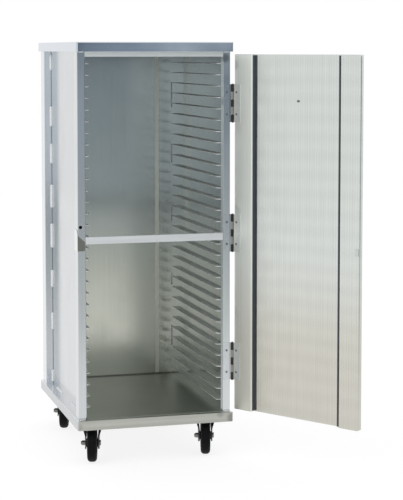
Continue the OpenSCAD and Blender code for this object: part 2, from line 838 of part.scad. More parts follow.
// The axle bolt, with a low head on one side and a tall lock nut on the other.
module axle() {
    half = leg_gap + leg_t;
    head_h = 4;
    nut_h = 9;
    thread = 4;
    color(zinc_colour) translate([0, -trail, wheel_r]) rotate([0, 90, 0]) {
        translate([0, 0, -half - nut_h - thread]) cylinder(d = axle_d, h = 2 * half + nut_h + thread + head_h);
        translate([0, 0, half]) cylinder(d = axle_d + 7, h = head_h, $fn = 6);
        translate([0, 0, -half - nut_h]) cylinder(d = axle_d + 5, h = nut_h, $fn = 6);
    }
}

tyre_inner_r = wheel_r - tyre_h;

module tyre() {
    color(black_colour) translate([0, -trail, wheel_r]) rotate([0, 90, 0]) rotate_extrude($fn = 96)
        intersection() {
            translate([tyre_inner_r, -wheel_w / 2]) square([wheel_r - tyre_inner_r, wheel_w]);
            union() {
                translate([0, -wheel_w / 2 + tread_r]) square([wheel_r, wheel_w - 2 * tread_r]);
                translate([0, -wheel_w / 2]) square([wheel_r - tread_r, wheel_w]);
                for (s = [-1, 1])
                    translate([wheel_r - tread_r, s * (wheel_w / 2 - tread_r)]) circle(tread_r);
            }
        }
}

// A hub with a rim under the tyre, a web and a boss that runs on the axle.
// The boss ends just short of the legs, which bow in towards its rear edge.
module hub() {
    rim_w = wheel_w - 3;
    hub_rim_t = 4;
    web_w = 9;
    hub_r = axle_d / 2 + 8;
    bow_in = leg_bow - sqrt(pow(leg_bow, 2) - pow(trail + hub_r + leg_mid, 2));
    boss_w = 2 * (leg_gap - bow_in - face_clear);
    bore_r = axle_d / 2 + run_clear;
    color(black_colour) translate([0, -trail, wheel_r]) rotate([0, 90, 0]) rotate_extrude($fn = 96) {
        translate([tyre_inner_r - hub_rim_t, -rim_w / 2]) square([hub_rim_t, rim_w]);
        translate([bore_r, -web_w / 2]) square([tyre_inner_r - bore_r, web_w]);
        translate([bore_r, -boss_w / 2]) square([hub_r - bore_r, boss_w]);
    }
}

for (r = RAILS)
    base_rail(r[1]);
floor_deck();
front_left_post();
front_right_post();
rear_left_post();
rear_right_post();
left_side_wall();
right_side_wall();
left_tray_ledges();
right_tray_ledges();
back_panel();
back_joint_strips();
roof_cap();
front_header();
mid_rail();
latch_keeper();
side_weld_beads();
corner_weld_beads();
frame_weld_beads();
hinge_frame_leaves();
hinge_pins();
hinge_frame_rivets();
caster_channels();
caster_plates();
kingpins();
caster_bolts();
door_hinge_stile();
door_latch_stile();
door_panel();
door_end_caps();
hinge_door_leaves();
hinge_door_rivets();
door_magnet_catch();
door_pull_handle();
door_panel_rivet();
for (c = CORNERS) {
    at_caster(c) fork();
    at_caster(c) raceway();
    at_caster(c) axle();
    at_caster(c) hub();
    at_caster(c) tyre();
}
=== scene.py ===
"""Enclosed meal tray cart: finishes, weld beads, small fittings and a white studio.

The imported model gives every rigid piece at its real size. This script dresses
those pieces in their metals, replaces the plain weld beads with rippled ones and
sets the cart in a white studio with a dim room behind the camera, which is what
the bright metal mirrors. Sizes are in metres, and a name that ends in _mm is in
millimetres.
"""

from __future__ import annotations

import logging
import math
import random
from dataclasses import dataclass, field
from enum import Enum
from typing import Any, Iterable, Protocol

import bmesh
import bpy
from mathutils import Euler, Matrix, Vector

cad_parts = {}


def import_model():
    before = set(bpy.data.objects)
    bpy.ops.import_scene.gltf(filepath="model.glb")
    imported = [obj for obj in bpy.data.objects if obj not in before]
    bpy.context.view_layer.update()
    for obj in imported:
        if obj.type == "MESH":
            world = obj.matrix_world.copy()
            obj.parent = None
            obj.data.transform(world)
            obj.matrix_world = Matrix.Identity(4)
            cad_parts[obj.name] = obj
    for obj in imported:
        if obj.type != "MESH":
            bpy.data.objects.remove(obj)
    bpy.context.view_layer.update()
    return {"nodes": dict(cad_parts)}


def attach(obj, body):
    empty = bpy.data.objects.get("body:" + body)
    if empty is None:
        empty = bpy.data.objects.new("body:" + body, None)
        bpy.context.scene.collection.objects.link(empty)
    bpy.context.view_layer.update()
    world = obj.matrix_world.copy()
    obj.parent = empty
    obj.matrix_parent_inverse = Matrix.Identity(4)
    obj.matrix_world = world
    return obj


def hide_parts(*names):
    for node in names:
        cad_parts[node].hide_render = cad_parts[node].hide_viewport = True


log = logging.getLogger("tray_cart")

MM = 0.001

# Measures repeated from the cart's solids, in metres.
POST_X = 0.2615
WALL_X = 0.2355
INNER_X = 0.2325
FRONT_Y = -0.337
REAR_POST_Y = 0.272
BACK_Y = 0.334
BASE_FRONT_Y = -0.357
DECK_Z = 0.154
DECK_SHEET_T = 0.002
CAP_Z = 1.375
HINGE_AXIS = (0.2695, -0.3387)
DOOR_TURN_DEG = 124.0
DOOR_FOOT_Z = 0.163
DOOR_HEAD_Z = 1.366

# Blender's noise keeps mostly between these two, so a pattern is spread over them.
NOISE_LOW, NOISE_HIGH = 0.3, 0.7
# How many times as long as wide a streak is.
STREAK_STRETCH = 60.0


# ------------------------------------------------------------------ helpers


def linear(hex_colour: str) -> tuple[float, float, float, float]:
    """Turns an sRGB hex colour into Blender's linear colour.

    Args:
        hex_colour: Six hex digits, with or without a leading hash.

    Returns:
        Linear red, green and blue, and an alpha of one.
    """
    digits = hex_colour.lstrip("#")
    channels = [int(digits[i : i + 2], 16) / 255.0 for i in (0, 2, 4)]
    curve = [c / 12.92 if c <= 0.04045 else ((c + 0.055) / 1.055) ** 2.4 for c in channels]
    return (curve[0], curve[1], curve[2], 1.0)


def add_node(
    tree: bpy.types.NodeTree,
    kind: str,
    sockets: dict[str | int, Any] | None = None,
    **settings: Any,
) -> bpy.types.Node:
    """Adds a node with its settings and its inputs, which are values or links.

    Args:
        tree: The node tree that takes the node.
        kind: Blender's name for the kind of node.
        sockets: Input name or number to a value, or to an output socket to link.
        **settings: Properties of the node itself.

    Returns:
        The new node.
    """
    node = tree.nodes.new(kind)
    for name, value in settings.items():
        setattr(node, name, value)
    for key, value in (sockets or {}).items():
        if isinstance(value, bpy.types.NodeSocket):
            tree.links.new(value, node.inputs[key])
        else:
            node.inputs[key].default_value = value
    return node


def new_material(name: str) -> tuple[bpy.types.Material, bpy.types.NodeTree]:
    """Makes an empty node material.

    Args:
        name: The material's name.

    Returns:
        The material and its node tree, with no nodes in it.
    """
    material = bpy.data.materials.new(name)
    material.use_nodes = True
    material.node_tree.nodes.clear()
    return material, material.node_tree


def object_from(name: str, mesh: bmesh.types.BMesh, smooth: bool = True) -> bpy.types.Object:
    """Turns a bmesh into an object at the origin and frees the bmesh.

    Args:
        name: The object's name.
        mesh: The shape, already in its place.
        smooth: Whether its faces are shaded smooth.

    Returns:
        The new object, linked to the scene.
    """
    bmesh.ops.remove_doubles(mesh, verts=mesh.verts, dist=1e-6)
    bmesh.ops.recalc_face_normals(mesh, faces=mesh.faces)
    data = bpy.data.meshes.new(name)
    mesh.to_mesh(data)
    mesh.free()
    for polygon in data.polygons:
        polygon.use_smooth = smooth
    obj = bpy.data.objects.new(name, data)
    bpy.context.scene.collection.objects.link(obj)
    return obj


def add_part(whole: bmesh.types.BMesh, part: bmesh.types.BMesh) -> None:
    """Adds a finished part to a larger mesh and frees the part.

    Args:
        whole: The mesh that takes it.
        part: The part, already in its place.
    """
    data = bpy.data.meshes.new("part")
    part.to_mesh(data)
    part.free()
    whole.from_mesh(data)
    bpy.data.meshes.remove(data)


# ------------------------------------------------------------------ finishes


class Grain(Enum):
    """The direction in which a sheet was rolled or a section drawn."""

    ALONG_X = (1.0, STREAK_STRETCH, STREAK_STRETCH)
    ALONG_Y = (STREAK_STRETCH, 1.0, STREAK_STRETCH)
    ALONG_Z = (STREAK_STRETCH, STREAK_STRETCH, 1.0)


@dataclass(frozen=True)
class DarkPatch:
    """A darker patch on the metal, such as those round a hinge, where some are painted shade."""

    place: tuple[float, float, float]
    radius_mm: float
    dark: float = 0.5


class Measure(Enum):
    """What a second tone goes by: the height, or the distance from the cart's middle plane."""

    HEIGHT = "Z"
    REACH = "X"


class Run(Enum):
    """The axis that a straight line follows, as a scale that flattens it to a point."""

    X = (0.0, 1.0, 1.0)
    Z = (1.0, 1.0, 0.0)


@dataclass(frozen=True)
class CornerShade:
    """A line of painted shade in an inner corner: a point on it, and its run."""

    place: tuple[float, float, float]
    run: Run = Run.Z
    width_mm: float = 2.0
    dark: float = 0.85
    core: float = 0.3


@dataclass(frozen=True)
class MillMetal:
    """Mill-finish metal, rolled or extruded and left bare: aluminium, or satin stainless.

    The oxide is thin and clear, so the metal mirrors the room. The rolls or the
    die leave fine straight lines, handling leaves cloudy patches a hand's width
    across, and a thin sheet or section is never quite flat, which bends what it
    mirrors. The lines are drawn coarser than the real ones, to show at all. Where
    edge_mm is given, the die's rounded edges catch the light. Where second_colour is
    given, it holds below second_span, and the main colour above it.
    """

    name: str
    colour: str = "#CDD0D2"
    grain: Grain = Grain.ALONG_Z
    roughness: float = 0.12
    edge_mm: float = 0.0
    line_mm: float = 7.0
    line_tint: float = 0.05
    cloud_mm: float = 110.0
    cloud_rough: float = 0.03
    wave_mm: float = 130.0
    wave_depth_mm: float = 0.25
    turn_deg: float = 0.0
    rib_mm: float = 0.0
    rib_tint: float = 0.0
    band_mm: float = 0.0
    band_tint: float = 0.0
    band_waver: float = 1.5
    second_colour: str = ""
    second_by: Measure = Measure.HEIGHT
    second_span: tuple[float, float] = (0.35, 0.75)
    dark_patches: tuple[DarkPatch, ...] = ()
    corner_shades: tuple[CornerShade, ...] = ()

    def build(self) -> bpy.types.Material:
        """Makes the material.

        Returns:
            A metal whose tint, roughness and relief follow the grain.
        """
        material, tree = new_material(self.name)
        place = add_node(tree, "ShaderNodeTexCoord").outputs["Object"]
        if self.turn_deg:
            place = add_node(
                tree, "ShaderNodeMapping",
                {"Vector": place, "Rotation": (0.0, 0.0, math.radians(-self.turn_deg))},
            ).outputs["Vector"]
        clouds = add_node(
            tree, "ShaderNodeTexNoise",
            {"Vector": place, "Scale": 1.0 / (self.cloud_mm * MM), "Detail": 3.0, "Roughness": 0.5},
        ).outputs["Fac"]
        shade = self.streaks(tree, place, self.grain.value, self.line_mm, self.line_tint)
        marks = [self.darkening(tree, place, clouds, dark_patch) for dark_patch in self.dark_patches]
        marks += [self.corner_shade_line(tree, place, corner_shade) for corner_shade in self.corner_shades]
        if self.rib_tint:
            marks.append(self.ribs(tree, place, "X", self.rib_mm, self.rib_tint, 0.0))
        if self.band_tint:
            marks.append(self.ribs(tree, place, "Z", self.band_mm, self.band_tint, self.band_waver))
        for mark in marks:
            shade = add_node(
                tree, "ShaderNodeMath", {0: shade, 1: mark}, operation="MULTIPLY"
            ).outputs[0]
        tone: Any = linear(self.colour)[:3]
        if self.second_colour:
            at = add_node(tree, "ShaderNodeSeparateXYZ", {0: place}).outputs[self.second_by.value]
            far = add_node(tree, "ShaderNodeMath", {0: at}, operation="ABSOLUTE").outputs[0]
            second = add_node(
                tree, "ShaderNodeMapRange",
                {"Value": far, "From Min": self.second_span[1], "From Max": self.second_span[0]},
                interpolation_type="SMOOTHSTEP",
            ).outputs["Result"]
            tone = add_node(
                tree, "ShaderNodeMix",
                {"Factor": second, 6: linear(self.colour), 7: linear(self.second_colour)},
                data_type="RGBA",
            ).outputs[2]
        tinted = add_node(
            tree, "ShaderNodeVectorMath", {0: tone, "Scale": shade}, operation="SCALE"
        ).outputs[0]
        rough = add_node(
            tree, "ShaderNodeMapRange",
            {"Value": clouds, "From Min": NOISE_LOW, "From Max": NOISE_HIGH,
             "To Min": self.roughness - self.cloud_rough, "To Max": self.roughness + self.cloud_rough},
        ).outputs["Result"]
        waves = add_node(
            tree, "ShaderNodeTexNoise",
            {"Vector": place, "Scale": 1.0 / (self.wave_mm * MM), "Detail": 1.0, "Roughness": 0.4},
        ).outputs["Fac"]
        relief: dict[str | int, Any] = {
            "Height": waves, "Strength": 1.0, "Distance": self.wave_depth_mm * MM,
        }
        if self.edge_mm:
            relief["Normal"] = add_node(
                tree, "ShaderNodeBevel", {"Radius": self.edge_mm * MM}, samples=4
            ).outputs["Normal"]
        buckled = add_node(tree, "ShaderNodeBump", relief).outputs["Normal"]
        metal = add_node(
            tree, "ShaderNodeBsdfPrincipled",
            {"Base Color": tinted, "Metallic": 1.0, "Roughness": rough, "Normal": buckled},
        )
        add_node(tree, "ShaderNodeOutputMaterial", {"Surface": metal.outputs[0]})
        return material

    @staticmethod
    def streaks(
        tree: bpy.types.NodeTree,
        place: bpy.types.NodeSocket,
        stretch: tuple[float, float, float],
        size_mm: float,
        tint: float,
    ) -> bpy.types.NodeSocket:
        """Adds streaks, each size_mm wide and many times as long.

        Args:
            tree: The material's nodes.
            place: The coordinates.
            stretch: STREAK_STRETCH on an axis across the streaks, and one along them.
            size_mm: The streaks' width.
            tint: How much darker a dark streak is.

        Returns:
            A factor from one less the tint to one.
        """
        scale = [c / STREAK_STRETCH / (size_mm * MM) for c in stretch]
        mapped = add_node(tree, "ShaderNodeMapping", {"Vector": place, "Scale": scale}).outputs["Vector"]
        noise = add_node(
            tree, "ShaderNodeTexNoise", {"Vector": mapped, "Scale": 1.0, "Detail": 2.0, "Roughness": 0.6}
        ).outputs["Fac"]
        return add_node(
            tree, "ShaderNodeMapRange",
            {"Value": noise, "From Min": NOISE_LOW, "From Max": NOISE_HIGH, "To Min": 1.0 - tint},
        ).outputs["Result"]

    @staticmethod
    def ribs(
        tree: bpy.types.NodeTree,
        place: bpy.types.NodeSocket,
        across: str,
        pitch_mm: float,
        tint: float,
        waver: float,
    ) -> bpy.types.NodeSocket:
        """Adds even lines, such as the die's on an extruded face or the rolls' on a sheet.

        Args:
            tree: The material's nodes.
            place: The coordinates.
            across: The axis across the lines, X or Z.
            pitch_mm: The distance from one line to the next.
            tint: How much darker the lines are.
            waver: How far the lines stray from even.

        Returns:
            A factor from one less the tint to one.
        """
        # At a scale of one the wave repeats every pi/10 of a unit.
        wave = add_node(
            tree, "ShaderNodeTexWave",
            {"Vector": place, "Scale": math.pi / 10.0 / (pitch_mm * MM), "Distortion": waver,
             "Detail": 1.0, "Detail Scale": 0.3},
            wave_type="BANDS", bands_direction=across,
        ).outputs["Fac"]
        return add_node(
            tree, "ShaderNodeMapRange", {"Value": wave, "To Min": 1.0 - tint}
        ).outputs["Result"]

    @staticmethod
    def corner_shade_line(
        tree: bpy.types.NodeTree, place: bpy.types.NodeSocket, corner_shade: CornerShade
    ) -> bpy.types.NodeSocket:
        """Adds one line of painted shade in a corner.

        Args:
            tree: The material's nodes.
            place: The coordinates.
            corner_shade: Where it is and how dark.

        Returns:
            A factor, the line's dark value in the painted shade line and one outside it.
        """
        flat = add_node(
            tree, "ShaderNodeMapping", {"Vector": place, "Scale": corner_shade.run.value}
        ).outputs["Vector"]
        centre = [at * keep for at, keep in zip(corner_shade.place, corner_shade.run.value)]
        away = add_node(
            tree, "ShaderNodeVectorMath", {0: flat, 1: centre}, operation="DISTANCE"
        ).outputs["Value"]
        width = corner_shade.width_mm * MM
        return add_node(
            tree, "ShaderNodeMapRange",
            {"Value": away, "From Min": corner_shade.core * width, "From Max": width, "To Min": corner_shade.dark},
        ).outputs["Result"]

    @staticmethod
    def darkening(
        tree: bpy.types.NodeTree,
        place: bpy.types.NodeSocket,
        clouds: bpy.types.NodeSocket,
        dark_patch: DarkPatch,
    ) -> bpy.types.NodeSocket:
        """Adds one darker patch with a ragged edge.

        Args:
            tree: The material's nodes.
            place: The coordinates.
            clouds: Noise that breaks the patch's edge.
            dark_patch: Where it is and how dark.

        Returns:
            A factor, smear.dark in the patch and one outside it.
        """
        radius = dark_patch.radius_mm * MM
        away = add_node(
            tree, "ShaderNodeVectorMath", {0: place, 1: dark_patch.place}, operation="DISTANCE"
        ).outputs["Value"]
        ragged = add_node(
            tree, "ShaderNodeMath", {0: clouds, 1: radius, 2: away}, operation="MULTIPLY_ADD"
        ).outputs[0]
        return add_node(
            tree, "ShaderNodeMapRange",
            {"Value": ragged, "From Min": radius, "From Max": radius * 2.0, "To Min": dark_patch.dark},
            interpolation_type="SMOOTHSTEP",
        ).outputs["Result"]


@dataclass(frozen=True)
class PlainMetal:
    """A small metal part with one finish all over: plated, satin or as welded.

    The grit is the scale of its fine relief: plating grain, blasting or ripples.
    """

    name: str
    colour: str
    dark: str
    roughness: float
    grit_mm: float = 1.5
    relief: float = 0.1
    metallic: float = 1.0
    relief_mm: float = 0.3

    def build(self) -> bpy.types.Material:
        """Makes the material.

        Returns:
            A metal mottled between two tones, with a fine relief.
        """
        material, tree = new_material(self.name)
        place = add_node(tree, "ShaderNodeTexCoord").outputs["Object"]
        grit = add_node(
            tree, "ShaderNodeTexNoise",
            {"Vector": place, "Scale": 1.0 / (self.grit_mm * MM), "Detail": 3.0, "Roughness": 0.6},
        ).outputs["Fac"]
        tones = add_node(tree, "ShaderNodeValToRGB", {"Fac": grit})
        tones.color_ramp.elements[0].position = NOISE_LOW
        tones.color_ramp.elements[0].color = linear(self.dark)
        tones.color_ramp.elements[1].position = NOISE_HIGH
        tones.color_ramp.elements[1].color = linear(self.colour)
        relief = add_node(
            tree, "ShaderNodeBump",
            {"Height": grit, "Strength": self.relief, "Distance": self.relief_mm * MM},
        ).outputs["Normal"]
        metal = add_node(
            tree, "ShaderNodeBsdfPrincipled",
            {"Base Color": tones.outputs["Color"], "Metallic": self.metallic,
             "Roughness": self.roughness, "Normal": relief},
        )
        add_node(tree, "ShaderNodeOutputMaterial", {"Surface": metal.outputs[0]})
        return material


@dataclass(frozen=True)
class SawnFin:
    """An extruded aluminium fin, satin on its faces, sawn off at the front.

    The saw's grain and the tip are rough and take light from all round; the lighter tone on the sawn
    front and the tip is a painted highlight.
    """

    name: str
    colour: str = "#ECEEE9"
    # Painted highlight: the lighter tone of the sawn front and the tip
    sawn: str = "#F6F7F5"
    roughness: float = 0.50
    sawn_roughness: float = 0.75
    sawn_y: float = -0.3155
    sawn_edge_mm: float = 1.0
    tip_x: float = 0.2191
    tip_edge_mm: float = 0.2
    line_mm: float = 5.0
    line_tint: float = 0.08

    def build(self) -> bpy.types.Material:
        """Makes the material.

        Returns:
            A metal that is rough, with a painted highlight, in front of sawn_y and on its tip.
        """
        material, tree = new_material(self.name)
        place = add_node(tree, "ShaderNodeTexCoord").outputs["Object"]
        axes = add_node(tree, "ShaderNodeSeparateXYZ", {0: place}).outputs
        front = add_node(
            tree, "ShaderNodeMapRange",
            {"Value": axes["Y"], "From Min": self.sawn_y,
             "From Max": self.sawn_y - self.sawn_edge_mm * MM},
        ).outputs["Result"]
        reach = add_node(tree, "ShaderNodeMath", {0: axes["X"]}, operation="ABSOLUTE").outputs[0]
        tip = add_node(
            tree, "ShaderNodeMapRange",
            {"Value": reach, "From Min": self.tip_x,
             "From Max": self.tip_x - self.tip_edge_mm * MM},
        ).outputs["Result"]
        end = add_node(tree, "ShaderNodeMath", {0: front, 1: tip}, operation="MAXIMUM").outputs[0]
        tone = add_node(
            tree, "ShaderNodeMix",
            {"Factor": end, 6: linear(self.colour), 7: linear(self.sawn)}, data_type="RGBA",
        ).outputs[2]
        streaks = MillMetal.streaks(tree, place, Grain.ALONG_Y.value, self.line_mm, self.line_tint)
        tinted = add_node(
            tree, "ShaderNodeVectorMath", {0: tone, "Scale": streaks}, operation="SCALE"
        ).outputs[0]
        rough = add_node(
            tree, "ShaderNodeMapRange",
            {"Value": end, "To Min": self.roughness, "To Max": self.sawn_roughness},
        ).outputs["Result"]
        metal = add_node(
            tree, "ShaderNodeBsdfPrincipled",
            {"Base Color": tinted, "Metallic": 1.0, "Roughness": rough},
        )
        add_node(tree, "ShaderNodeOutputMaterial", {"Surface": metal.outputs[0]})
        return material


@dataclass(frozen=True)
class HingeMetal:
    """A hinge leaf: a bright plate whose rolled knuckles are darker, as painted shade.

    Painted shade also fades out on the plate round the knuckle, over a darker random mottle; the
    knuckle's tone stops where the plate begins.
    """

    name: str
    plate: str
    knuckle: str
    roughness: float = 0.22
    knuckle_r_mm: float = 5.2
    knuckle_edge_mm: float = 0.8
    halo_mm: float = 14.0
    halo_dark: float = 0.85
    grime_mm: float = 25.0 / 3.0
    grime_dark: float = 0.88

    def build(self) -> bpy.types.Material:
        """Makes the material.

        Returns:
            A metal that takes the knuckle's tone, painted shade, within its radius of the pin.
        """
        material, tree = new_material(self.name)
        place = add_node(tree, "ShaderNodeTexCoord").outputs["Object"]
        flat = add_node(
            tree, "ShaderNodeMapping", {"Vector": place, "Scale": (1.0, 1.0, 0.0)}
        ).outputs["Vector"]
        away = add_node(
            tree, "ShaderNodeVectorMath", {0: flat, 1: (*HINGE_AXIS, 0.0)}, operation="DISTANCE"
        ).outputs["Value"]
        edge = add_node(
            tree, "ShaderNodeMapRange",
            {"Value": away, "From Min": self.knuckle_r_mm * MM,
             "From Max": (self.knuckle_r_mm + self.knuckle_edge_mm) * MM},
        ).outputs["Result"]
        tone = add_node(
            tree, "ShaderNodeMix",
            {"Factor": edge, 6: linear(self.knuckle), 7: linear(self.plate)}, data_type="RGBA",
        ).outputs[2]
        darkening = add_node(
            tree, "ShaderNodeTexNoise",
            {"Vector": place, "Scale": 1.0 / (self.grime_mm * MM), "Detail": 3.0, "Roughness": 0.6},
        ).outputs["Fac"]
        shade = add_node(
            tree, "ShaderNodeMapRange",
            {"Value": darkening, "From Min": NOISE_LOW, "From Max": NOISE_HIGH, "To Min": self.grime_dark},
        ).outputs["Result"]
        halo = add_node(
            tree, "ShaderNodeMapRange",
            {"Value": away, "From Min": self.knuckle_r_mm * MM, "From Max": self.halo_mm * MM,
             "To Min": self.halo_dark},
        ).outputs["Result"]
        mottle_and_shade = add_node(tree, "ShaderNodeMath", {0: shade, 1: halo}, operation="MULTIPLY").outputs[0]
        tinted = add_node(
            tree, "ShaderNodeVectorMath", {0: tone, "Scale": mottle_and_shade}, operation="SCALE"
        ).outputs[0]
        metal = add_node(
            tree, "ShaderNodeBsdfPrincipled",
            {"Base Color": tinted, "Metallic": 1.0, "Roughness": self.roughness},
        )
        add_node(tree, "ShaderNodeOutputMaterial", {"Surface": metal.outputs[0]})
        return material


@dataclass(frozen=True)
class BlackCoat:
    """A black non-metal: stoved enamel, moulded polymer or rubber.

    Enamel is smooth with a broad sheen, a moulding is dull, and rubber is dullest
    and greys slightly where it has picked up dust.
    """

    name: str
    colour: str
    dusty: str
    roughness: float
    ior: float = 1.5
    grain_mm: float = 0.8
    relief: float = 0.15
    relief_mm: float = 0.2
    dust_mm: float = 25.0
    dust_span: tuple[float, float] = (0.45, 0.85)

    def build(self) -> bpy.types.Material:
        """Makes the material.

        Returns:
            A near-black dielectric with a fine grain and faint dust.
        """
        material, tree = new_material(self.name)
        place = add_node(tree, "ShaderNodeTexCoord").outputs["Object"]
        dust = add_node(
            tree, "ShaderNodeTexNoise",
            {"Vector": place, "Scale": 1.0 / (self.dust_mm * MM), "Detail": 5.0, "Roughness": 0.6},
        ).outputs["Fac"]
        tones = add_node(tree, "ShaderNodeValToRGB", {"Fac": dust})
        tones.color_ramp.elements[0].position = self.dust_span[0]
        tones.color_ramp.elements[0].color = linear(self.colour)
        tones.color_ramp.elements[1].position = self.dust_span[1]
        tones.color_ramp.elements[1].color = linear(self.dusty)
        grain = add_node(
            tree, "ShaderNodeTexNoise",
            {"Vector": place, "Scale": 1.0 / (self.grain_mm * MM), "Detail": 2.0},
        ).outputs["Fac"]
        relief = add_node(
            tree, "ShaderNodeBump",
            {"Height": grain, "Strength": self.relief, "Distance": self.relief_mm * MM},
        ).outputs["Normal"]
        shader = add_node(
            tree, "ShaderNodeBsdfPrincipled",
            {"Base Color": tones.outputs["Color"], "Roughness": self.roughness,
             "IOR": self.ior, "Normal": relief},
        )
        add_node(tree, "ShaderNodeOutputMaterial", {"Surface": shader.outputs[0]})
        return material


class Finish(Protocol):
    """Anything that has a name and builds a material."""

    name: str

    def build(self) -> bpy.types.Material:
        """Makes the material."""


# Painted shade: dark lines in the corners where the side walls meet the rear posts
REAR_CORNER_SHADES = tuple(CornerShade((side * WALL_X, REAR_POST_Y, 0.0)) for side in (-1.0, 1.0))
# Painted shadow: a dark line where the deck meets the back panel
DECK_BACK_SHADOW = CornerShade((0.0, BACK_Y, DECK_Z + DECK_SHEET_T), Run.X, 7.0, 0.35)
# Painted shade: the inner face, inside the cabinet, is darker than the outer one, and the two tones meet
# inside the sheet
WALL_SHEET = MillMetal(
    "mill_sheet_side_wall", "#C8CACC", Grain.ALONG_Z, 0.15, second_colour="#B3B9BA",
    second_by=Measure.REACH, second_span=(0.2335, 0.2345), corner_shades=REAR_CORNER_SHADES,
)
# Painted light: the back panel is lighter below half a metre than above 0.9 m, and it has the painted
# shadow line at the deck
BACK_SHEET = MillMetal(
    "mill_sheet_back_panel", "#B7BDBB", Grain.ALONG_Z, 0.20, wave_depth_mm=0.12,
    second_colour="#C9CABF", second_span=(0.50, 0.90), corner_shades=(DECK_BACK_SHADOW,),
)
STRIP_SHEET = MillMetal("mill_strip_back_joint", "#D8D9CE", Grain.ALONG_Z, 0.38)
# The deck has the painted shadow line along its back edge
DECK_SHEET = MillMetal(
    "mill_sheet_deck", "#B2B6AD", Grain.ALONG_X, 0.36, line_tint=0.08, wave_depth_mm=0.12,
    corner_shades=(DECK_BACK_SHADOW,),
)
POST_SECTION = MillMetal("drawn_section_post", "#CDD0D2", Grain.ALONG_Z, 0.14, line_mm=5.0, edge_mm=2.2)
# Darker patches by the hinges; the one at the top, under the roof, is painted shade
HINGE_POST = MillMetal(
    "drawn_section_hinge_post", "#D0D4D5", Grain.ALONG_Z, 0.14, line_mm=5.0, edge_mm=2.2,
    dark_patches=(
        DarkPatch((0.244, FRONT_Y, 1.354), 14.0, 0.5), DarkPatch((0.244, FRONT_Y, 1.208), 14.0, 0.6),
        DarkPatch((0.247, FRONT_Y, 0.772), 12.0, 0.7), DarkPatch((0.247, FRONT_Y, 0.335), 11.0, 0.8),
    ),
)
# Painted shade: a dark line in the corner where the side wall meets the post
REAR_POST = MillMetal(
    "drawn_section_rear_post", "#DADEE2", Grain.ALONG_Z, 0.14, line_mm=5.0, edge_mm=2.2,
    corner_shades=REAR_CORNER_SHADES,
)
HEADER_SECTION = MillMetal("drawn_section_header", "#F2F3F0", Grain.ALONG_X, 0.42, line_mm=5.0)
RAIL_SECTION = MillMetal(
    "brushed_section_mid_rail", "#E8EAEB", Grain.ALONG_X, 0.55, line_mm=3.0, line_tint=0.10
)
ROOF_SHEET = MillMetal(
    "mill_sheet_roof_pan", "#CDD3DB", Grain.ALONG_X, 0.10, line_mm=6.0, wave_depth_mm=0.6, edge_mm=1.0
)
BASE_SECTION = MillMetal(
    "drawn_section_base_rim", "#BBBCB4", Grain.ALONG_X, 0.30, line_mm=8.0, line_tint=0.16, edge_mm=1.0,
    dark_patches=(
        DarkPatch((0.262, BASE_FRONT_Y, 0.135), 14.0, 0.6), DarkPatch((0.222, BASE_FRONT_Y, 0.150), 10.0, 0.75),
        DarkPatch((-0.262, BASE_FRONT_Y, 0.135), 10.0, 0.8),
    ),
)
# The side rails: painted light makes the flange on top lighter, and painted shade makes the rim below it
# darker
BASE_SIDE = MillMetal(
    "drawn_section_base_side", "#F0F1F3", Grain.ALONG_Y, 0.24, line_mm=8.0, edge_mm=1.0,
    second_colour="#BDC0C2", second_span=(0.1525, 0.1538),
)
CHANNEL_SECTION = MillMetal("drawn_section_caster_channel", "#BFC2C1", Grain.ALONG_X, 0.28)
LEDGE_FIN = SawnFin("extruded_ledge_fin")
DOOR_SECTION = MillMetal(
    "extruded_door_panel", "#D7DBD7", Grain.ALONG_Z, 0.20, line_mm=9.0, turn_deg=DOOR_TURN_DEG,
    rib_mm=9.5, rib_tint=0.045, band_mm=61.0, band_tint=0.035, wave_depth_mm=0.1,
    second_colour="#CFCDC3", cloud_mm=60.0, edge_mm=0.7,
)
# The hinge stile: satin, and a lighter copy of the door's metal, the lighter tone painted light, with
# darker patches by the hinges, placed in the turned door
DOOR_STILE = MillMetal(
    "extruded_door_hinge_stile", "#F2F6F0", Grain.ALONG_Z, 0.34, line_mm=6.0, line_tint=0.04,
    turn_deg=DOOR_TURN_DEG, rib_mm=9.5, rib_tint=0.03, wave_depth_mm=0.1, second_colour="#E2E1D7",
    cloud_mm=60.0, cloud_rough=0.04, edge_mm=0.7,
    dark_patches=(
        DarkPatch((-0.4475, -0.0357, 0.840), 17.0, 0.84), DarkPatch((-0.4545, -0.0357, 0.715), 12.0, 0.86),
        DarkPatch((-0.4415, -0.0357, 1.330), 14.0, 0.84),
    ),
)
# Filler metal with the white oxide that the arc leaves on it
WELD = PlainMetal("aluminium_weld_bead", "#F2F3F4", "#DADDE0", 0.45, 2.0, 0.25, 0.45)
# A folded plate: the side leg is bright, and the face that the magnet meets is darker, which is painted
# shade
KEEPER = MillMetal(
    "satin_stainless_keeper", "#E4E6E6", Grain.ALONG_Z, 0.22, line_mm=2.0, edge_mm=0.8,
    second_colour="#8C8B84", second_by=Measure.REACH, second_span=(0.2618, 0.2627),
)
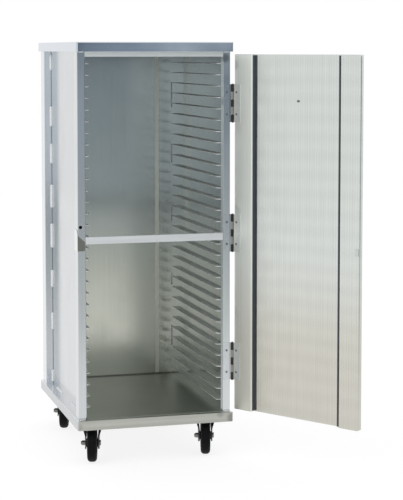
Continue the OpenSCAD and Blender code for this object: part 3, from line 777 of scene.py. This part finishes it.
# The knuckles' dark tones and the darkening round them are painted shade
FRAME_LEAF = HingeMetal("hinge_leaf_frame", "#CFD3D5", "#57524A", 0.15, halo_dark=0.6)
DOOR_LEAF = HingeMetal("hinge_leaf_door", "#E4E8E4", "#A6A298", 0.34, halo_mm=8.0)
PIN = PlainMetal("hinge_pin_steel", "#6F6E6C", "#4E4D4C", 0.38, 1.2)
RIVET = PlainMetal("zinc_plated_rivet", "#8C9197", "#6A7178", 0.40, 1.0)
PLATED = PlainMetal("zinc_plated_steel", "#868A85", "#6E726D", 0.32, 1.0)
PULL = PlainMetal("satin_stainless_pull", "#C7C9CA", "#BBBDBE", 0.25, 1.0)
MAGNET = PlainMetal("nickel_plated_magnet", "#CFD3D0", "#C4C8C5", 0.32, 1.2)
ENAMEL = BlackCoat("black_stoved_enamel", "#08090A", "#101114", 0.38, 1.4)
HUB = BlackCoat("moulded_black_polymer", "#070808", "#0F1011", 0.50, 1.35)
TREAD = BlackCoat("black_rubber_tread", "#050607", "#0D0E10", 0.62, 1.22, 1.0, 0.25)
# Dark strips set in the door's seams as painted shade
SEAM_SHADE = BlackCoat("dark_seam_shade_strip", "#40454C", "#4A4E54", 0.45, 1.4)


@dataclass
class Wardrobe:
    """Builds each finish once and puts it on pieces."""

    nodes: dict[str, bpy.types.Object]
    made: dict[str, bpy.types.Material] = field(default_factory=dict)

    def dress(self, obj: bpy.types.Object, finish: Finish) -> None:
        """Gives an object one finish all over.

        Args:
            obj: The object to dress.
            finish: Its finish.
        """
        if finish.name not in self.made:
            self.made[finish.name] = finish.build()
        obj.data.materials.clear()
        obj.data.materials.append(self.made[finish.name])

    def dress_nodes(self, finishes: dict[str, Finish]) -> None:
        """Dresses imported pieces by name.

        Args:
            finishes: Node name to finish.
        """
        for name, finish in finishes.items():
            self.dress(self.nodes[name], finish)
            log.info("%s: %s", name, finish.name)


# ------------------------------------------------------------------ welds


@dataclass(frozen=True)
class Stitch:
    """One fillet weld in a corner: its start, its run and the two faces it joins."""

    start: Vector
    run: Vector
    face_a: Vector
    face_b: Vector
    leg_mm: float


@dataclass
class WeldBeads:
    """Rippled fillet welds.

    A bead is a round bar of metal laid in a corner in overlapping pools. Each pool
    stands a little proud of the one before, and the part inside the two joined
    faces is cut off, so what is left is the fillet that shows.
    """

    pool_mm: float = 3.4
    # The rings' sizes within one pool, as shares of the radius
    pool_sizes: tuple[float, ...] = (1.0, 1.07, 0.95)
    fewest_rings: int = 6
    end_share: float = 0.35
    taper_rings: float = 4.0
    unevenness: float = 0.03
    # How far the bar's middle lies inside the corner, so that the fillet is nearly flat
    sunk_share: float = 0.12
    sides: int = 14
    seed: int = 7

    def bead(self, mesh: bmesh.types.BMesh, stitch: Stitch, rng: random.Random) -> None:
        """Adds one bead to a mesh.

        Args:
            mesh: The mesh that takes the bead.
            stitch: Where it lies.
            rng: The source of its small irregularities.
        """
        part = bmesh.new()
        radius = stitch.leg_mm * MM
        per_pool = len(self.pool_sizes)
        rings = max(self.fewest_rings, round(stitch.run.length / (self.pool_mm * MM) * per_pool))
        step = stitch.run.length / rings
        bmesh.ops.create_circle(part, segments=self.sides, radius=radius)
        bmesh.ops.spin(
            part, geom=part.verts[:] + part.edges[:], axis=(0.0, 0.0, 1.0), cent=(0.0, 0.0, 0.0),
            dvec=(0.0, 0.0, step), angle=0.0, steps=rings,
        )
        sizes = [self.size(ring, rings, rng) for ring in range(rings + 1)]
        for vert in part.verts:
            size = sizes[round(vert.co.z / step)]
            vert.co.x *= size
            vert.co.y *= size
        bmesh.ops.holes_fill(part, edges=[e for e in part.edges if e.is_boundary], sides=0)
        along = stitch.run.normalized()
        turn = Matrix((stitch.face_b, along.cross(stitch.face_b), along)).transposed().to_4x4()
        sunk = stitch.start - (stitch.face_a + stitch.face_b) * radius * self.sunk_share
        bmesh.ops.transform(part, matrix=Matrix.Translation(sunk) @ turn, verts=part.verts)
        for normal in (stitch.face_a, stitch.face_b):
            bmesh.ops.bisect_plane(
                part, geom=part.verts[:] + part.edges[:] + part.faces[:],
                plane_co=stitch.start, plane_no=normal, clear_inner=True,
            )
            bmesh.ops.holes_fill(part, edges=[e for e in part.edges if e.is_boundary], sides=0)
        bmesh.ops.recalc_face_normals(part, faces=part.faces)
        add_part(mesh, part)

    def size(self, ring: int, rings: int, rng: random.Random) -> float:
        """Gives a ring's size as a share of the bead's radius.

        Args:
            ring: The ring's number.
            rings: How many there are.
            rng: The source of small irregularities.

        Returns:
            Small at both ends, and rippled between them.
        """
        end = min(ring, rings - ring)
        taper = min(1.0, self.end_share + (1.0 - self.end_share) * math.sqrt(end / self.taper_rings))
        ripple = self.pool_sizes[ring % len(self.pool_sizes)]
        return taper * ripple * rng.uniform(1.0 - self.unevenness, 1.0 + self.unevenness)

    def build(
        self, name: str, stitches: Iterable[Stitch], node: str, wardrobe: Wardrobe
    ) -> bpy.types.Object:
        """Makes a set of beads in the place of the plain ones.

        Args:
            name: The new piece's name.
            stitches: The beads.
            node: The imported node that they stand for.
            wardrobe: What dresses them.

        Returns:
            The finished piece, riding on the cabinet.
        """
        rng = random.Random(self.seed)
        mesh = bmesh.new()
        for stitch in stitches:
            self.bead(mesh, stitch, rng)
        piece = object_from(name, mesh)
        wardrobe.dress(piece, WELD)
        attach(piece, "cabinet")
        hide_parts(node)
        log.info("%s: %d faces", name, len(piece.data.polygons))
        return piece


# ------------------------------------------------------------------ cabinet


@dataclass
class Cabinet:
    """The welded cabinet: shell, ledges, header, rail, keeper and welds."""

    side_leg_mm: float = 8.5
    foot_leg_mm: float = 4.0
    thin_leg_mm: float = 3.0
    seam_leg_mm: float = 1.8
    post_weld: float = 0.020
    post_weld_inset: float = 0.003
    middle_weld: float = 0.045
    side_stitches: tuple[tuple[float, float], ...] = (
        (0.007, 0.045), (0.201, 0.064), (0.358, 0.064), (0.504, 0.089),
        (0.651, 0.085), (0.813, 0.073), (0.948, 0.074), (1.153, 0.060),
    )
    corner_stitches: tuple[tuple[float, float], ...] = (
        (0.108, 0.078), (0.340, 0.046), (0.582, 0.070), (0.803, 0.072), (1.011, 0.096),
    )
    foot_stitches: tuple[tuple[float, float], ...] = ((0.200, 0.080), (0.451, 0.102))

    def finishes(self) -> dict[str, Finish]:
        """Lists the finish of each of the cabinet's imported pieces.

        Returns:
            Node name to finish.
        """
        return {
            "base_front_rail": BASE_SECTION,
            "base_right_rail": BASE_SIDE,
            "base_rear_rail": BASE_SECTION,
            "base_left_rail": BASE_SIDE,
            "roof_cap": ROOF_SHEET,
            "floor_deck": DECK_SHEET,
            "left_side_wall": WALL_SHEET,
            "right_side_wall": WALL_SHEET,
            "back_panel": BACK_SHEET,
            "back_joint_strips": STRIP_SHEET,
            "left_tray_ledges": LEDGE_FIN,
            "right_tray_ledges": LEDGE_FIN,
            "front_left_post": POST_SECTION,
            "front_right_post": HINGE_POST,
            "rear_left_post": REAR_POST,
            "rear_right_post": REAR_POST,
            "front_header": HEADER_SECTION,
            "mid_rail": RAIL_SECTION,
            "latch_keeper": KEEPER,
            "caster_channels": CHANNEL_SECTION,
            "caster_plates": ENAMEL,
            "kingpins": PLATED,
            "caster_bolts": PLATED,
        }

    def side_welds(self) -> list[Stitch]:
        """Places the stitches between side walls and rear posts, and along the walls' feet.

        Returns:
            The stitches of both sides.
        """
        beads = []
        for side in (-1.0, 1.0):
            out = Vector((side, 0.0, 0.0))
            for low, length in self.side_stitches:
                beads.append(Stitch(
                    Vector((side * WALL_X, REAR_POST_Y, DECK_Z + low)), Vector((0.0, 0.0, length)),
                    out, Vector((0.0, -1.0, 0.0)), self.side_leg_mm,
                ))
            for near, length in self.foot_stitches:
                beads.append(Stitch(
                    Vector((side * WALL_X, BASE_FRONT_Y + near, DECK_Z)), Vector((0.0, length, 0.0)),
                    out, Vector((0.0, 0.0, 1.0)), self.foot_leg_mm,
                ))
        return beads

    def corner_welds(self) -> list[Stitch]:
        """Places the stitches in the rear inner corners.

        Returns:
            The stitches of both corners.
        """
        return [
            Stitch(
                Vector((side * INNER_X, BACK_Y, DECK_Z + low)), Vector((0.0, 0.0, length)),
                Vector((-side, 0.0, 0.0)), Vector((0.0, -1.0, 0.0)), self.thin_leg_mm,
            )
            for side in (-1.0, 1.0)
            for low, length in self.corner_stitches
        ]

    def frame_welds(self) -> list[Stitch]:
        """Places the short welds at the front posts' feet and heads and over the header.

        Returns:
            The five stitches, and the fine seam along the header.
        """
        front = Vector((0.0, -1.0, 0.0))
        up = Vector((0.0, 0.0, 1.0))
        run = Vector((self.post_weld, 0.0, 0.0))
        beads = []
        for side in (-1.0, 1.0):
            low_x = min(side * (WALL_X + self.post_weld_inset), side * (POST_X - self.post_weld_inset))
            beads.append(Stitch(Vector((low_x, FRONT_Y, DECK_Z)), run, front, up, self.thin_leg_mm))
            beads.append(Stitch(Vector((low_x, FRONT_Y, CAP_Z)), run, front, -up, self.thin_leg_mm))
        middle = Vector((-self.middle_weld / 2.0, FRONT_Y, CAP_Z))
        beads.append(Stitch(middle, Vector((self.middle_weld, 0.0, 0.0)), front, -up, self.thin_leg_mm))
        seam = Vector((-WALL_X, FRONT_Y, CAP_Z))
        beads.append(Stitch(seam, Vector((2.0 * WALL_X, 0.0, 0.0)), front, -up, self.seam_leg_mm))
        return beads

    def build(self, wardrobe: Wardrobe) -> None:
        """Dresses the cabinet and lays its welds.

        Args:
            wardrobe: What dresses the pieces.
        """
        wardrobe.dress_nodes(self.finishes())
        welds = WeldBeads()
        welds.build("side_fillet_welds", self.side_welds(), "side_weld_beads", wardrobe)
        welds.build("corner_fillet_welds", self.corner_welds(), "corner_weld_beads", wardrobe)
        welds.build("frame_fillet_welds", self.frame_welds(), "frame_weld_beads", wardrobe)


# ------------------------------------------------------------------ door


@dataclass
class Door:
    """The door with its hinges, magnet, pull and the dark strips of painted shade beside its panel."""

    strip_edge_mm: float = 0.6
    panel_inner_y_mm: float = -16.7
    # Each dark strip: the stile's edge along the door, and the strip's width and depth from it
    seam_strips_mm: tuple[tuple[float, float, float], ...] = ((-83.0, -2.0, 11.5), (-440.0, 5.5, 14.6))
    strip_end: float = 0.003

    def finishes(self) -> dict[str, Finish]:
        """Lists the finish of each of the door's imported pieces, and of the hinges.

        Returns:
            Node name to finish.
        """
        return {
            "door_hinge_stile": DOOR_STILE,
            "door_latch_stile": DOOR_SECTION,
            "door_panel": DOOR_SECTION,
            "door_end_caps": DOOR_SECTION,
            "door_magnet_catch": MAGNET,
            "door_pull_handle": PULL,
            "door_panel_rivet": RIVET,
            "hinge_frame_leaves": FRAME_LEAF,
            "hinge_door_leaves": DOOR_LEAF,
            "hinge_pins": PIN,
            "hinge_frame_rivets": RIVET,
            "hinge_door_rivets": RIVET,
        }

    def seam_shade_strips(self, wardrobe: Wardrobe) -> bpy.types.Object:
        """Makes the two dark strips of painted shade that stand along the stiles, on the panel's inner
        side.

        Args:
            wardrobe: What dresses them.

        Returns:
            The finished piece, riding on the door.
        """
        shape = bmesh.new()
        foot, head = DOOR_FOOT_Z + self.strip_end, DOOR_HEAD_Z - self.strip_end
        for seam_x, width, depth in self.seam_strips_mm:
            strip = bmesh.new()
            bmesh.ops.create_grid(strip, x_segments=1, y_segments=1, size=0.5)
            bmesh.ops.scale(strip, verts=strip.verts, vec=(abs(width) * MM, depth * MM, 1.0))
            raised = bmesh.ops.extrude_face_region(strip, geom=strip.faces[:])["geom"]
            top = [v for v in raised if isinstance(v, bmesh.types.BMVert)]
            bmesh.ops.translate(strip, verts=top, vec=(0.0, 0.0, head - foot))
            centre = Vector((
                (seam_x + width / 2.0) * MM, (self.panel_inner_y_mm + depth / 2.0) * MM, foot
            ))
            bmesh.ops.translate(strip, verts=strip.verts, vec=centre)
            long_edges = [e for e in strip.edges if e.calc_length() > (head - foot) / 2.0]
            bmesh.ops.bevel(
                strip, geom=long_edges, offset=self.strip_edge_mm * MM, affect="EDGES", segments=2,
                profile=0.5, material=-1,
            )
            add_part(shape, strip)
        turn = Matrix.Rotation(math.radians(DOOR_TURN_DEG), 4, "Z")
        hinge = Matrix.Translation((*HINGE_AXIS, 0.0)) @ turn
        bmesh.ops.transform(shape, matrix=hinge, verts=shape.verts)
        piece = object_from("door_seam_shade_strips", shape, smooth=False)
        wardrobe.dress(piece, SEAM_SHADE)
        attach(piece, "door")
        log.info("door_seam_shade_strips: %d faces", len(piece.data.polygons))
        return piece

    def build(self, wardrobe: Wardrobe) -> None:
        """Dresses the door and the hinges, and adds the dark strips of painted shade.

        Args:
            wardrobe: What dresses the pieces.
        """
        wardrobe.dress_nodes(self.finishes())
        self.seam_shade_strips(wardrobe)


# ------------------------------------------------------------------ casters


@dataclass
class Caster:
    """One swivel caster: enamelled fork, plated axle, polymer hub and rubber tyre."""

    corner: str

    def build(self, wardrobe: Wardrobe) -> None:
        """Dresses the caster.

        Args:
            wardrobe: What dresses the pieces.
        """
        wardrobe.dress_nodes({
            f"{self.corner}_fork": ENAMEL,
            f"{self.corner}_raceway": ENAMEL,
            f"{self.corner}_axle": PLATED,
            f"{self.corner}_hub": HUB,
            f"{self.corner}_tyre": TREAD,
        })


# ------------------------------------------------------------------ studio


@dataclass(frozen=True)
class Studio:
    """A white surround and floor, with a dim room behind the camera.

    The room is what the cart's front mirrors. It is dimmest straight behind the
    camera and to the right, and the floor darkens towards it.
    """

    floor_radius: float = 9.5
    facets: int = 96
    # The floor's tone runs from white at the first place along Y to room_foot at the second
    floor_run: tuple[float, float] = (-1.4, -9.0)
    floor_middle: tuple[float, str] = (0.28, "#D6DAD9")
    room_foot: str = "#AEB6BA"
    # What the floor sends back: as matt card under lamps, and as the sheet that the camera
    # and the mirrors see, which takes the cart's shadow and glows to an even white
    matt_share: float = 0.86
    sheet_share: float = 0.20
    sheet_glow: float = 0.83
    room_height: float = 4.6
    room_reach: float = 2.6
    # Heights between which the wall turns to its upper tones, to its foot's and to white
    eye_span: tuple[float, float] = (1.26, 1.36)
    foot_span: tuple[float, float] = (1.2, 0.0)
    head_start: float = 2.4
    key_place: tuple[float, float, float] = (-3.2, -2.6, 3.4)
    key_aim: tuple[float, float, float] = (0.0, 0.0, 0.8)
    key_size: float = 2.4
    key_watts: float = 25.0
    # Colour of the room's wall by its place along X, up to the eye's height
    wall_tones: tuple[tuple[float, str], ...] = (
        (-6.0, "#FCFEFF"), (-3.2, "#F8FCFF"), (-1.2, "#F2F8FE"), (0.7, "#BFC9D2"),
        (1.5, "#A6B4C2"), (3.0, "#78848F"), (6.0, "#79848F"),
    )
    # The same at the wall's foot
    foot_tones: tuple[tuple[float, str], ...] = (
        (-6.0, "#FCFEFF"), (-1.2, "#F2F6FA"), (0.7, "#C2C8CC"), (1.5, "#B4BBBF"), (6.0, "#B4BBBE"),
    )
    # The same over the eye's height
    upper_tones: tuple[tuple[float, str], ...] = (
        (-6.0, "#FCFEFF"), (-1.2, "#F2F8FE"), (0.7, "#98A2AC"), (1.40, "#525B66"),
        (1.9, "#8C98A4"), (2.65, "#CCD4DA"), (3.05, "#9AA4AE"), (6.0, "#79848F"),
    )

    def floor(self) -> None:
        """Makes the floor: near-white round the cart and darker towards the room.

        The camera meets an even white sheet of paper that still takes the shadow.
        """
        shape = bmesh.new()
        bmesh.ops.create_circle(shape, cap_ends=True, segments=self.facets, radius=self.floor_radius)
        floor = object_from("studio_floor", shape, smooth=False)
        material, tree = new_material("white_studio_floor")
        path = add_node(tree, "ShaderNodeLightPath").outputs
        coordinates = add_node(tree, "ShaderNodeTexCoord").outputs["Object"]
        place = add_node(tree, "ShaderNodeSeparateXYZ", {0: coordinates}).outputs
        forward = add_node(
            tree, "ShaderNodeMapRange",
            {"Value": place["Y"], "From Min": self.floor_run[0], "From Max": self.floor_run[1]},
        ).outputs["Result"]
        unseen = add_node(
            tree, "ShaderNodeMath", {0: 1.0, 1: path["Is Camera Ray"]}, operation="SUBTRACT"
        ).outputs[0]
        fade = add_node(tree, "ShaderNodeMath", {0: forward, 1: unseen}, operation="MULTIPLY").outputs[0]
        shade = add_node(tree, "ShaderNodeValToRGB", {"Fac": fade})
        ramp = shade.color_ramp
        ramp.elements[0].color = linear("#FFFFFF")
        ramp.elements[1].color = linear(self.room_foot)
        ramp.elements.new(self.floor_middle[0]).color = linear(self.floor_middle[1])
        tone = shade.outputs["Color"]
        lit = self.card(tree, tone, self.matt_share)
        sheet = self.card(tree, tone, self.sheet_share)
        glow = add_node(tree, "ShaderNodeEmission", {"Color": tone, "Strength": self.sheet_glow})
        paper = add_node(tree, "ShaderNodeAddShader", {0: sheet, 1: glow.outputs[0]})
        mirrored = add_node(
            tree, "ShaderNodeMath",
            {0: path["Is Glossy Ray"], 1: path["Is Transmission Ray"]}, operation="MAXIMUM",
        ).outputs[0]
        seen = add_node(
            tree, "ShaderNodeMath", {0: path["Is Camera Ray"], 1: mirrored}, operation="MAXIMUM"
        ).outputs[0]
        both = add_node(tree, "ShaderNodeMixShader", {0: seen, 1: lit, 2: paper.outputs[0]})
        add_node(tree, "ShaderNodeOutputMaterial", {"Surface": both.outputs[0]})
        floor.data.materials.append(material)

    @staticmethod
    def card(
        tree: bpy.types.NodeTree, tone: bpy.types.NodeSocket, share: float
    ) -> bpy.types.NodeSocket:
        """Adds matt card.

        Args:
            tree: The material's nodes.
            tone: The card's colour.
            share: How much of that colour it sends back.

        Returns:
            The shader.
        """
        dimmed = add_node(
            tree, "ShaderNodeVectorMath", {0: tone, "Scale": share}, operation="SCALE"
        ).outputs[0]
        return add_node(tree, "ShaderNodeBsdfDiffuse", {"Color": dimmed}).outputs[0]

    def room(self) -> None:
        """Makes the dim wall behind the camera, which the camera itself looks through."""
        shape = bmesh.new()
        bmesh.ops.create_circle(shape, segments=self.facets, radius=self.floor_radius)
        raised = bmesh.ops.extrude_edge_only(shape, edges=shape.edges[:])["geom"]
        verts = [v for v in raised if isinstance(v, bmesh.types.BMVert)]
        bmesh.ops.translate(shape, verts=verts, vec=(0.0, 0.0, self.room_height))
        far_off = [f for f in shape.faces if f.calc_center_median().y > -self.room_reach]
        bmesh.ops.delete(shape, geom=far_off, context="FACES")
        wall = object_from("studio_room", shape)
        wall.visible_camera = False
        material, tree = new_material("dim_room_wall")
        coordinates = add_node(tree, "ShaderNodeTexCoord").outputs["Object"]
        place = add_node(tree, "ShaderNodeSeparateXYZ", {0: coordinates}).outputs
        tone = self.tones(tree, place["X"], self.wall_tones)
        layers: tuple[tuple[tuple[float, float], Any], ...] = (
            (self.eye_span, self.tones(tree, place["X"], self.upper_tones)),
            (self.foot_span, self.tones(tree, place["X"], self.foot_tones)),
            ((self.head_start, self.room_height), linear("#FFFFFF")),
        )
        for (starts, full), colour in layers:
            share = add_node(
                tree, "ShaderNodeMapRange", {"Value": place["Z"], "From Min": starts, "From Max": full},
                interpolation_type="SMOOTHSTEP",
            ).outputs["Result"]
            tone = add_node(
                tree, "ShaderNodeMix", {"Factor": share, 6: tone, 7: colour}, data_type="RGBA"
            ).outputs[2]
        dim = add_node(tree, "ShaderNodeEmission", {"Color": tone, "Strength": 1.0})
        add_node(tree, "ShaderNodeOutputMaterial", {"Surface": dim.outputs[0]})
        wall.data.materials.append(material)

    @staticmethod
    def tones(
        tree: bpy.types.NodeTree,
        across: bpy.types.NodeSocket,
        stops: tuple[tuple[float, str], ...],
    ) -> bpy.types.NodeSocket:
        """Adds a run of tones along the room's wall.

        Args:
            tree: The material's nodes.
            across: The place along X.
            stops: Place along X and colour of each stop, in order.

        Returns:
            The colour.
        """
        first, last = stops[0][0], stops[-1][0]
        share = add_node(
            tree, "ShaderNodeMapRange", {"Value": across, "From Min": first, "From Max": last}
        ).outputs["Result"]
        run = add_node(tree, "ShaderNodeValToRGB", {"Fac": share})
        ramp = run.color_ramp
        ramp.interpolation = "EASE"
        ramp.elements[0].color = linear(stops[0][1])
        ramp.elements[1].color = linear(stops[-1][1])
        for x, colour in stops[1:-1]:
            ramp.elements.new((x - first) / (last - first)).color = linear(colour)
        return run.outputs["Color"]

    def world(self) -> None:
        """Makes the white surround, the same for every ray."""
        world = bpy.data.worlds.new("white_surround")
        bpy.context.scene.world = world
        world.use_nodes = True
        tree = world.node_tree
        tree.nodes.clear()
        white = add_node(tree, "ShaderNodeBackground", {"Color": linear("#FFFFFF"), "Strength": 1.0})
        add_node(tree, "ShaderNodeOutputWorld", {"Surface": white.outputs[0]})

    def key_lamp(self) -> None:
        """Hangs the square soft box, high to the left of the camera."""
        data = bpy.data.lights.new("key_box", "AREA")
        data.shape = "SQUARE"
        data.size = self.key_size
        data.energy = self.key_watts
        lamp = bpy.data.objects.new("key_box", data)
        lamp.location = self.key_place
        aim = Vector(self.key_aim) - Vector(self.key_place)
        lamp.rotation_euler = aim.to_track_quat("-Z", "Y").to_euler()
        bpy.context.scene.collection.objects.link(lamp)

    def build(self) -> None:
        """Builds the whole studio."""
        self.floor()
        self.room()
        self.world()
        self.key_lamp()


@dataclass(frozen=True)
class Camera:
    """The photograph's viewpoint, in front of the cart and to its left, just below roof height."""

    place: tuple[float, float, float] = (-1.2849, -5.4926, 1.3818)
    turn_deg: float = 15.67
    tilt_deg: float = 4.477
    lens_mm: float = 115.33
    sensor_mm: float = 36.0
    rise: float = -0.15
    clip_end: float = 100.0

    def build(self) -> None:
        """Makes the scene's camera."""
        data = bpy.data.cameras.new("camera")
        data.sensor_width = self.sensor_mm
        data.lens = self.lens_mm
        data.shift_y = self.rise
        data.clip_end = self.clip_end
        camera = bpy.data.objects.new("camera", data)
        camera.location = self.place
        camera.rotation_euler = Euler(
            (math.radians(90.0 - self.tilt_deg), 0.0, -math.radians(self.turn_deg)), "XYZ"
        )
        bpy.context.scene.collection.objects.link(camera)
        bpy.context.scene.camera = camera


def main() -> None:
    """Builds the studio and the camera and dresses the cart."""
    logging.basicConfig(level=logging.INFO, format="%(name)s: %(message)s")
    bpy.context.scene.view_settings.view_transform = "Standard"
    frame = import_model()
    Camera().build()
    Studio().build()
    wardrobe = Wardrobe(frame["nodes"])
    Cabinet().build(wardrobe)
    Door().build(wardrobe)
    for corner in ("front_left", "front_right", "rear_left", "rear_right"):
        Caster(corner).build(wardrobe)


if __name__ == "__main__":
    main()
